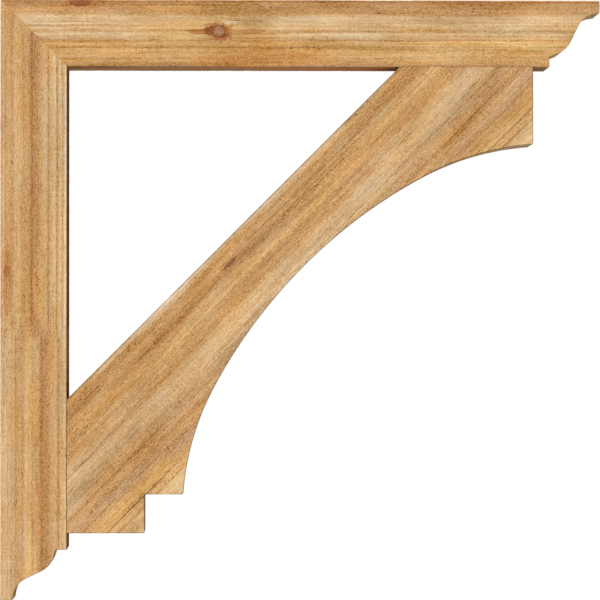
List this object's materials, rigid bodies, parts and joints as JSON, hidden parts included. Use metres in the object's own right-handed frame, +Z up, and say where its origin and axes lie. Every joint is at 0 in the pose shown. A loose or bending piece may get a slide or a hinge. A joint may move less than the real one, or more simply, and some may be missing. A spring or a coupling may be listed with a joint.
{
  "type": "wooden corbel bracket",
  "caption": "Rough-sawn timber bracket: wall member and top member mitred at the corner, ogee ends, and a curved knee brace between them.",
  "frame": {"origin": "centre of the wall face, the flat back of the upright member", "axes": "+X reaches out from the wall, +Z up, Y along the wall across the bracket's width"},
  "size_m": [0.8128, 0.0904, 0.8128],
  "materials": {
    "rough_sawn_cedar": "rough sawn, unfinished"
  },
  "bodies": {
    "root": {"back_member": "rough_sawn_cedar", "top_member": "rough_sawn_cedar", "brace": "rough_sawn_cedar"}
  },
  "joints": []
}
